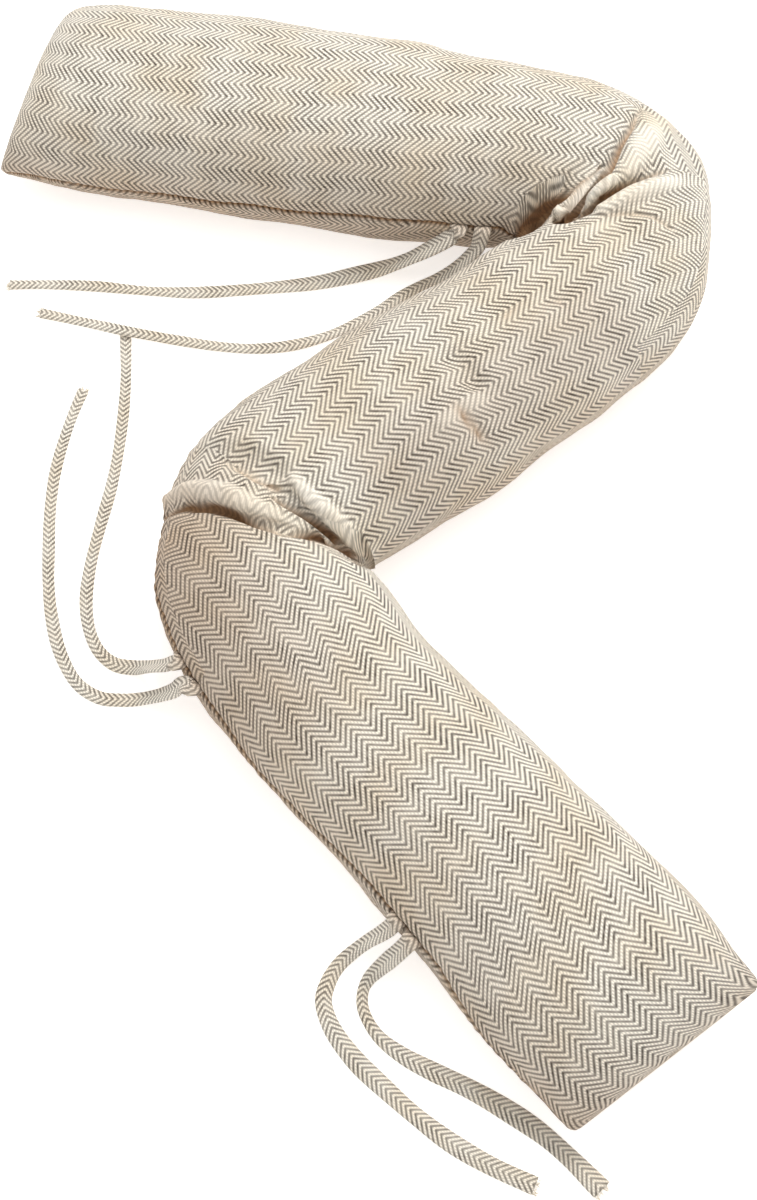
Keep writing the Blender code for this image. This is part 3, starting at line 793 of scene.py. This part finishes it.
def fray_tuft(material):
    """Node group that stands a short bent fibre on every point, along the point's aim."""
    tree, given, sockets = new_group("frayed yarn ends", "Points", ("Length", "Fibre"), "Fibres")
    points = add_node(tree, "GeometryNodeMeshToPoints", [("Mesh", given.outputs["Points"])])
    tip = add_node(tree, "ShaderNodeCombineXYZ", [(2, given.outputs["Length"])])
    bent = add_node(tree, "ShaderNodeVectorMath",
                    [(0, tip), (1, (0.35, 0.12, 0.55)), (2, (0.0004, 0.0002, 0.0))],
                    operation="MULTIPLY_ADD")
    line = add_node(tree, "GeometryNodeCurveQuadraticBezier",
                    [("Resolution", 4), ("Start", (0.0, 0.0, 0.0)), ("Middle", bent), ("End", tip)])
    ring = add_node(tree, "GeometryNodeCurvePrimitiveCircle",
                    [("Resolution", 5), ("Radius", given.outputs["Fibre"])])
    fibre = add_node(tree, "GeometryNodeCurveToMesh",
                     [("Curve", line), ("Profile Curve", ring), ("Fill Caps", True)])
    aim = add_node(tree, "GeometryNodeInputNamedAttribute", [("Name", "aim")], data_type="FLOAT_VECTOR")
    turned = add_node(tree, "FunctionNodeAlignRotationToVector", [("Vector", aim)], axis="Z")
    lean = add_node(tree, "FunctionNodeRandomValue",
                    [(0, (-0.5, -0.5, -3.1)), (1, (0.5, 0.5, 3.1)), ("Seed", FRAY_SEED)],
                    data_type="FLOAT_VECTOR")
    leaned = add_node(tree, "FunctionNodeRotateRotation", [("Rotation", turned), ("Rotate By", lean)],
                      rotation_space="LOCAL")
    long = add_node(tree, "FunctionNodeRandomValue", [(2, 0.45), (3, 1.2), ("Seed", FRAY_SEED + 1)])
    set_out(tree, points, fibre, leaned, long.outputs[1], material)
    return tree, sockets


def grown(name, base, group, values):
    """Runs a node group over a plain mesh and returns the result as a finished object."""
    tree, sockets = group
    carrier = new_object(name + "_base", base)
    modifier = carrier.modifiers.new("nodes", "NODES")
    modifier.node_group = tree
    for socket, value in values.items():
        modifier[sockets[socket]] = value
    evaluated = carrier.evaluated_get(bpy.context.evaluated_depsgraph_get())
    mesh = bpy.data.meshes.new_from_object(evaluated)
    carrier.modifiers.remove(modifier)
    bpy.data.objects.remove(carrier)
    for polygon in mesh.polygons:
        polygon.use_smooth = True
    mesh.name = name
    return new_object(name, mesh)


def ring_lengths(points):
    """Distance round each ring from the seam, in metres, one more than the ring's points."""
    closed = np.concatenate([points, points[:, :1]], axis=1)
    steps = np.linalg.norm(np.diff(closed, axis=1), axis=2)
    return np.concatenate([np.zeros((len(points), 1)), np.cumsum(steps, axis=1)], axis=1)


def bend_frame(name):
    """Centre, start length, length, start direction from the centre and turning sense of a bend."""
    row = next(index for index, leg in enumerate(COURSE) if leg[0] == name)
    start, length, x, y, heading, turn = LEGS[row]
    radius = length / turn
    centre = (x - math.sin(heading) * radius, y + math.cos(heading) * radius)
    return centre, start, length, heading, turn


def straight_weave(x, y, origin_length, ring):
    """Weave coordinates of points as if the tube ran on straight from one of its rings."""
    ox, oy, heading = (float(value) for value in on_course(origin_length))
    along = (x - ox) * math.cos(heading) + (y - oy) * math.sin(heading)
    aside = -(x - ox) * math.sin(heading) + (y - oy) * math.cos(heading)
    places, rounds = ring
    return origin_length + along, np.interp(aside, places, rounds)


def top_ring(s):
    """Sideways place and distance round from the seam of the points over the top of one ring."""
    angles = np.linspace(float(section_at(s)[3]), 180.0, SKIN_READINGS)
    points = surface_point(s, angles, folded=False)
    ox, oy, heading = (float(value) for value in on_course(s))
    aside = -(points[:, 0] - ox) * math.sin(heading) + (points[:, 1] - oy) * math.cos(heading)
    around = np.concatenate([[0.0], np.cumsum(np.linalg.norm(np.diff(points, axis=0), axis=1))])
    return aside, around


def lengths_along(stations, points):
    """Lengths along the tube at each point, measured over the skin on the slopes of the sewn ends."""
    steps = np.linalg.norm(np.diff(points, axis=0), axis=2)
    travelled = np.concatenate([np.zeros((1, points.shape[1])), np.cumsum(steps, axis=0)])
    first, last = np.searchsorted(stations, [END_LENGTH, COURSE_LENGTH - END_LENGTH])
    inward = np.clip(np.arange(len(stations)), first, last)
    return stations[inward][:, None] + travelled - travelled[inward]


def weave_places(stations, points, rounds, facing_up):
    """Weave coordinates, along and round the tube, for several readings of the cloth.

    The cloth can't shear round a bend, so the runs' weave goes on straight up to the bend's creases,
    and on the steep sides of a bend it runs round with the side.
    Returns one array for each reading and the reading that holds at each point.
    """
    x, y = points[..., 0], points[..., 1]
    own = np.stack([lengths_along(stations, points), rounds], axis=-1)
    readings = [own]
    choice = np.zeros(x.shape, int)
    for name, breaks in WEAVE_BREAKS.items():
        centre, start, length, heading, turn = bend_frame(name)
        radial = heading + math.copysign(math.pi / 2, -turn)
        direction = np.arctan2(y - centre[1], x - centre[0])
        turned = np.degrees((direction - radial) * math.copysign(1, turn))
        turned = (turned + 180) % 360 - 180
        distance = np.hypot(x - centre[0], y - centre[1])
        limits = [np.interp(distance, *np.array(line).T) for line in breaks]
        in_bend = ((stations > start) & (stations < start + length))[:, None]
        before = in_bend & (turned < limits[0])
        between = in_bend & (turned >= limits[0]) & (turned < limits[1])
        after = in_bend & (turned >= limits[1])
        straight_in = straight_weave(x, y, start, top_ring(start))
        middle = start + length * math.radians(np.mean([limits[0].mean(), limits[1].mean()])) / abs(turn)
        straight_mid = straight_weave(x, y, middle, top_ring(middle))
        straight_out = straight_weave(x, y, start + length, top_ring(start + length))
        on_side = start + np.radians(turned) * distance, rounds
        steep = in_bend & (facing_up < STEEP_SIDE)
        for share, reading in ((before, straight_in), (between, straight_mid), (after, straight_out),
                               (steep, on_side)):
            readings.append(np.stack(np.broadcast_arrays(*reading), axis=-1))
            choice = np.where(share, len(readings) - 1, choice)
    return readings, choice


def lumpiness(points, size, amount):
    """Slow uneven swelling of the filling, as a height for each point."""
    return np.array([noise.noise(Vector(point) / size) for point in points]) * amount


def tube_mesh(cloth):
    """The filled tube with its creases, ridges, seam and weave coordinates, and the seam's line over it."""
    stations = station_lengths()
    angles = ring_angles(section_at(stations)[3])
    points = surface_point(stations[:, None], angles)
    rings, around = points.shape[:2]
    rounds = ring_lengths(surface_point(stations[:, None], angles, folded=False))
    mesh = bpy.data.meshes.new("herringbone_cover")
    index = np.arange(rings * around).reshape(rings, around)
    following = np.roll(index, -1, axis=1)
    faces = np.stack([index[:-1], index[1:], following[1:], following[:-1]], axis=-1).reshape(-1, 4)
    mesh.from_pydata(points.reshape(-1, 3), [], faces.tolist())
    mesh.update()
    normals = np.zeros(rings * around * 3)
    mesh.vertex_normals.foreach_get("vector", normals)
    normals = normals.reshape(rings, around, 3)

    # Height of the finished skin over the plain form
    share = end_share(stations)[:, None]
    upward = changed(normals[..., 2], ON_TOP)
    x, y = points[..., 0], points[..., 1]
    creased = stroke_field(CREASES, x, y, sharp=True)
    raised = stroke_field(RIDGES, x, y)
    relief = (raised - creased) * upward
    from_seam = np.minimum(rounds[:, :-1], rounds[:, -1:] - rounds[:, :-1])
    groove = np.exp(-(from_seam / SEAM_GROOVE_WIDTH) ** 2)
    lip = np.exp(-((from_seam - SEAM_LIP_PLACE) / SEAM_LIP_WIDTH) ** 2)
    drift = SEAM_PUCKER_DRIFT * np.sin(stations * SEAM_PUCKER_DRIFT_RATE)
    pucker = np.sin(2 * math.pi * stations / SEAM_PUCKER_PITCH + drift)[:, None]
    near_seam = np.exp(-(from_seam / SEAM_PUCKER_REACH) ** 2)
    seam = -SEAM_GROOVE * groove + SEAM_LIP * lip + SEAM_PUCKER * pucker * near_seam
    flat = points.reshape(-1, 3)
    lumps = lumpiness(flat, LUMP_SIZE, cloth.lumps)
    lumps += lumpiness(flat, SMALL_LUMP_SIZE, cloth.lumps * SMALL_LUMP_SHARE)
    lift = relief + seam * share + lumps.reshape(rings, around) * share
    lifted = points + normals * (lift * changed(points[..., 2], OFF_FLOOR))[..., None]
    lifted[..., 2] = np.maximum(lifted[..., 2], 0.0)
    mesh.vertices.foreach_set("co", lifted.reshape(-1))

    # Weave coordinates in millimetres
    readings, choice = weave_places(stations, points, rounds[:, :-1], normals[..., 2])
    reading_of_face = choice.reshape(-1)[faces[:, 0]]
    stacked = np.stack([reading.reshape(-1, 2) for reading in readings])
    places = stacked[reading_of_face[:, None], faces]
    wrapped = (faces % around == 0) & (faces[:, :1] % around == around - 1)
    closing = rounds[:, -1][faces // around]
    places[..., 1] = np.where(wrapped & (reading_of_face[:, None] == 0), closing, places[..., 1])
    layer = mesh.uv_layers.new(name="cloth")
    layer.data.foreach_set("uv", (places * 1000).reshape(-1))

    # Painted shade, browner and dim: in creases, deep folds, the seam's groove, beside the seam, towards
    # the floor and in broad shaded places
    in_crease = np.clip(creased / CREASE_DEPTH, 0, 1) ** CREASE_POWER
    in_fold = changed(stroke_field(FOLDS, x, y), IN_FOLD)
    painted_shade = (in_crease + in_fold) * upward + np.exp(-(from_seam / SEAM_SHADE_WIDTH) ** 2) * share
    for distance, (reach, strength) in ((points[..., 2], FLOOR_SHADE), (from_seam, SEAM_SHADE)):
        painted_shade += eased(1 - distance / reach) * strength
    painted_shade += stroke_field(PAINTED_SHADE_PLACES, x, y)
    # Where the weave fades: on ridges, as a painted highlight, and in creases
    in_roll = eased(raised / ROLLED_RIDGE) + eased(creased / ROLLED_CREASE)
    for name, values in (("painted_shade", painted_shade), ("rolled", in_roll)):
        store(mesh, name, np.clip(values, 0, 1).reshape(-1))
    close_ends(mesh, rings, around)
    mesh.shade_smooth()
    seam_line = lifted[:, 0] + normals[:, 0] * STITCH_THREAD * 0.4
    return mesh, seam_line[(stations > STITCH_MARGIN) & (stations < COURSE_LENGTH - STITCH_MARGIN)]


def close_ends(mesh, rings, around):
    """Caps the first and last ring, whose upper and lower points lie in pairs across the thin sewn edge."""
    bm = bmesh.new()
    bm.from_mesh(mesh)
    bm.verts.ensure_lookup_table()
    first = [bm.verts[index] for index in range(around)]
    last = [bm.verts[(rings - 1) * around + index] for index in range(around)]
    caps = [bm.faces.new(first), bm.faces.new(list(reversed(last)))]
    bmesh.ops.triangulate(bm, faces=caps)
    bmesh.ops.recalc_face_normals(bm, faces=bm.faces)
    bm.to_mesh(mesh)
    bm.free()


def strand_section(count=16):
    """Rounded flat section of a strand, 1 wide and as thick as the tape."""
    turns = np.arange(count) * 2 * math.pi / count
    across = np.sign(np.cos(turns)) * np.abs(np.cos(turns)) ** TIE_SIDE_POWER / 2
    up = np.sign(np.sin(turns)) * np.abs(np.sin(turns)) ** TIE_TOP_POWER * TIE_THICKNESS / 2
    return across, up


def strand_mesh(name, path, cloth):
    """A flat folded tape along its route, level across and uneven in width, its chevrons on its middle."""
    across, up = strand_section()
    count = len(across)
    vertices, rounds = [], []
    phase = random.Random(name).uniform(0, 6)
    for number, point in enumerate(path):
        before, after = path[max(number - 1, 0)], path[min(number + 1, len(path) - 1)]
        along = (after - before).normalized()
        aside = along.cross(Vector((0, 0, 1)))
        if aside.length < 1e-3:
            aside = Vector((1, 0, 0))
        aside.normalize()
        rise = aside.cross(along)
        reached = number * TIE_STEP
        uneven = 1 + TIE_UNEVENNESS * math.sin(reached * TIE_UNEVEN_RATE + phase)
        wide = np.interp(reached, *zip(*TIE_WIDTHS[name])) * uneven
        tilt = TIE_TILT * math.sin(reached * TIE_TILT_RATE + phase * 2)
        tilt *= min(reached / TIE_TILT_START, 1)
        for x, z in zip(across * wide, up):
            turned_x = x * math.cos(tilt) - z * math.sin(tilt)
            turned_z = x * math.sin(tilt) + z * math.cos(tilt)
            place = point + aside * turned_x + rise * turned_z
            vertices.append((place.x, place.y, max(place.z, LOWEST)))
        steps = np.hypot(np.diff(across, append=across[0]) * wide, np.diff(up, append=up[0]))
        around = np.concatenate([[0.0], np.cumsum(steps)])
        from_middle = (around - around[count // 4]) * 1000 * TIE_WEAVE
        rounds.append(from_middle + cloth.stripe_ends * cloth.warp_pitch)
    bm = bmesh.new()
    made = [bm.verts.new(vertex) for vertex in vertices]
    layer = bm.loops.layers.uv.new("cloth")
    for number in range(len(path) - 1):
        for index in range(count):
            following = (index + 1) % count
            corners = [(number, index), (number, following), (number + 1, following), (number + 1, index)]
            face = bm.faces.new([made[row * count + column] for row, column in corners])
            face.smooth = True
            for loop, (row, column) in zip(face.loops, corners):
                wrapped = column == 0 and index == count - 1
                loop[layer].uv = (row * TIE_STEP * 1000 * TIE_WEAVE,
                                  rounds[row][count if wrapped else column])
    bm.faces.new(list(reversed(made[:count])))
    bm.faces.new(made[-count:])
    bmesh.ops.recalc_face_normals(bm, faces=bm.faces)
    mesh = bpy.data.meshes.new(name + "_cloth")
    bm.to_mesh(mesh)
    bm.free()
    # Painted shade at the strand's root, where it leaves the seam, fading along the strand
    store(mesh, "painted_shade", [math.exp(-index // count * TIE_STEP / TIE_SHADE_LENGTH) * TIE_SHADE
                           for index in range(len(vertices))])
    return mesh


def fray_points(name, path):
    """Points spread over a strand's cut end, each with the direction in which its fibre leaves."""
    chance = random.Random(name)
    end, along = path[-1], (path[-1] - path[-2]).normalized()
    aside = along.cross(Vector((0, 0, 1))).normalized()
    mesh = bpy.data.meshes.new(name)
    spots, aims = [], []
    half_width = TIE_WIDTHS[name][-1][1] / 2
    for _ in range(FRAY_FIBRES):
        across, up = chance.uniform(-1, 1), chance.uniform(-0.6, 0.6)
        level = Vector((0, 0, up * TIE_THICKNESS / 2))
        spots.append(end + aside * across * half_width * 0.92 + level - along * FRAY_INSET)
        aims.append(along + aside * across * 0.25 + Vector((0, 0, up * 0.1)))
    mesh.from_pydata(spots, [], [])
    store(mesh, "aim", [value for aim in aims for value in aim], "FLOAT_VECTOR", "vector")
    return mesh


def number_setting(name, description, value, **kind):
    """A number that a user may change, with its unit or subtype where one fits."""
    return bpy.props.FloatProperty(name=name, description=description, default=value, **kind)


def colour_setting(name, description, code):
    """A colour that a user may change, with an sRGB hex value as its default."""
    return bpy.props.FloatVectorProperty(name=name, description=description, size=4, subtype="COLOR",
                                         default=(*linear(code), 1.0))


class ClothSettings(bpy.types.PropertyGroup):
    """Weave of the cover, in millimetres, and the colours of its yarns."""
    warp_pitch: number_setting("Warp pitch", "Distance between lengthwise yarns, in mm", 1.05)
    weft_pitch: number_setting("Weft pitch", "Distance between crosswise yarns, in mm", 1.12)
    stripe_ends: number_setting("Stripe", "Lengthwise yarns in one herringbone stripe", 7.0)
    gap_depth: number_setting("Gap depth", "Darkness between two yarns", 0.42, subtype="FACTOR")
    beading: number_setting("Beading", "How far the twill lines break at each yarn", 0.85, subtype="FACTOR")
    drift: number_setting("Drift", "How far the weave wanders, in mm", 1.3)
    drift_length: number_setting("Drift length", "Length of one wander, in mm", 38.0)
    lumps: number_setting("Lumps", "Unevenness of the filling", 0.0016, unit="LENGTH")
    # Strength of the painted shade in seams, creases, folds and towards the floor
    painted_shade_tint: number_setting("Hollow tint", "Painted shade in seams and creases", 0.9, subtype="FACTOR")
    light_yarn: colour_setting("Light yarn", "Undyed cotton", "FCF5E8")
    cross_yarn: colour_setting("Crosswise yarn", "Grey-brown cotton", "261B11")
    shadow: colour_setting("Gap", "Shadow between two yarns", "4A3A29")
    # Colours of the two yarns under the painted shade
    light_painted_shade: colour_setting("Light yarn in hollows", "Undyed cotton in painted shade", "A67A4A")
    cross_painted_shade: colour_setting("Crosswise yarn in hollows", "Brown cotton in painted shade", "24120A")
    toned_yarn: colour_setting("Toned yarn", "Warm patches of the undyed yarn", "F2E2C8")


class StageSettings(bpy.types.PropertyGroup):
    """Floor and lights."""
    floor: colour_setting("Floor", "Colour of the floor", "F7F6F4")
    key_power: number_setting("Key light", "Power of the large lamp behind", 24.0, unit="POWER")
    fill_strength: number_setting("Fill", "Strength of the even light", 0.72)
    floor_glow: number_setting("Floor glow", "Light from under the white table", 0.56)


class CUSHION_OT_camera(bpy.types.Operator):
    """Sets the camera above the last run, looking down along the zigzag"""
    bl_idname = "cushion.camera"
    bl_label = "Camera"

    def execute(self, context):
        camera = bpy.data.cameras.new("camera")
        camera.lens = CAMERA_LENS
        camera.clip_start = 0.01
        holder = new_object("camera", camera)
        holder.location = CAMERA_PLACE
        holder.rotation_euler = (math.radians(CAMERA_PITCH), 0, 0)
        context.scene.camera = holder
        return {"FINISHED"}


class CUSHION_OT_ties(bpy.types.Operator):
    """Makes the six tie strands that hang from the seam"""
    bl_idname = "cushion.ties"
    bl_label = "Tie strands"

    def execute(self, context):
        cloth = context.scene.excluder_cloth
        material = herringbone_cotton("herringbone cotton tape", cloth, TAPE_CONTRAST)
        tuft = fray_tuft(spun_thread("loose cotton fibres", "D9CBB2"))
        for name in TIE_ROUTES:
            path = strand_route(name)
            strand = new_object(name + "_strand", strand_mesh(name, path, cloth))
            strand.data.materials.append(material)
            fray = grown(name + "_fray", fray_points(name, path), tuft,
                         {"Length": FRAY_LENGTH, "Fibre": FRAY_FIBRE})
            for vertex in fray.data.vertices:
                vertex.co.z = max(vertex.co.z, LOWEST)
            for piece in (strand, fray):
                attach(piece, BODY)
            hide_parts(name)
        return {"FINISHED"}


class CUSHION_OT_cover(bpy.types.Operator):
    """Makes the filled cover with its bends, creases and long seam"""
    bl_idname = "cushion.cover"
    bl_label = "Filled cover"

    def execute(self, context):
        cloth = context.scene.excluder_cloth
        mesh, seam_line = tube_mesh(cloth)
        cover = new_object("herringbone_cover", mesh)
        cover.data.materials.append(herringbone_cotton("herringbone cotton cloth", cloth, 1.0))
        line = bpy.data.meshes.new("seam line")
        line.from_pydata(seam_line, [(index, index + 1) for index in range(len(seam_line) - 1)], [])
        stitches = grown("seam_stitches", line, stitch_row(spun_thread("cotton sewing thread", "6E5A42")),
                         {"Pitch": STITCH_PITCH, "Stitch": STITCH_LENGTH, "Thread": STITCH_THREAD})
        for piece in (cover, stitches):
            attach(piece, BODY)
        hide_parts("stuffed_tube")
        return {"FINISHED"}


class CUSHION_OT_stage(bpy.types.Operator):
    """Sets the floor and the studio light"""
    bl_idname = "cushion.stage"
    bl_label = "Stage"

    def execute(self, context):
        stage = context.scene.excluder_stage
        bm = bmesh.new()
        bmesh.ops.create_grid(bm, x_segments=1, y_segments=1, size=FLOOR_SIZE)
        mesh = bpy.data.meshes.new("floor")
        bm.to_mesh(mesh)
        bm.free()
        floor = new_object("floor", mesh)
        floor.location.z = -FLOOR_DROP
        # Uncoated white paper: matte, with a glow that keeps the shadows on it soft
        material, _tree, _shader = new_material("matte white paper", {
            "Base Color": stage.floor, "Roughness": 0.95, "Specular IOR Level": 0.1,
            "Emission Color": (1.0, 1.0, 1.0, 1.0), "Emission Strength": stage.floor_glow,
        })
        mesh.materials.append(material)
        world = bpy.data.worlds.new("studio")
        world.use_nodes = True
        background = world.node_tree.nodes["Background"]
        background.inputs["Color"].default_value = (1.0, 0.99, 0.975, 1.0)
        background.inputs["Strength"].default_value = stage.fill_strength
        context.scene.world = world
        context.scene.view_settings.view_transform = "Standard"
        for name, (place, size, share) in LAMPS.items():
            light = bpy.data.lights.new(name, "AREA")
            light.shape = "DISK"
            light.size = size
            light.energy = stage.key_power * share
            light.color = (1.0, 0.985, 0.96)
            holder = new_object(name, light)
            holder.location = place
            holder.rotation_euler = (-Vector(place)).to_track_quat("-Z", "Y").to_euler()
        return {"FINISHED"}


class CUSHION_PT_panel(bpy.types.Panel):
    """Lists the cushion's pieces in the sidebar"""
    bl_label = "Draught excluder"
    bl_space_type = "VIEW_3D"
    bl_region_type = "UI"
    bl_category = "Cushion"

    def draw(self, context):
        for operator in OPERATORS:
            self.layout.operator(operator.bl_idname)


OPERATORS = (CUSHION_OT_camera, CUSHION_OT_ties, CUSHION_OT_cover, CUSHION_OT_stage)
CLASSES = (ClothSettings, StageSettings, *OPERATORS, CUSHION_PT_panel)


def register():
    for item in CLASSES:
        bpy.utils.register_class(item)
    bpy.types.Scene.excluder_cloth = bpy.props.PointerProperty(type=ClothSettings)
    bpy.types.Scene.excluder_stage = bpy.props.PointerProperty(type=StageSettings)


def unregister():
    del bpy.types.Scene.excluder_stage
    del bpy.types.Scene.excluder_cloth
    for item in reversed(CLASSES):
        bpy.utils.unregister_class(item)


def main():
    register()
    bpy.ops.cushion.camera()
    bpy.ops.cushion.ties()
    bpy.ops.cushion.cover()
    bpy.ops.cushion.stage()


if __name__ == "__main__":
    main()
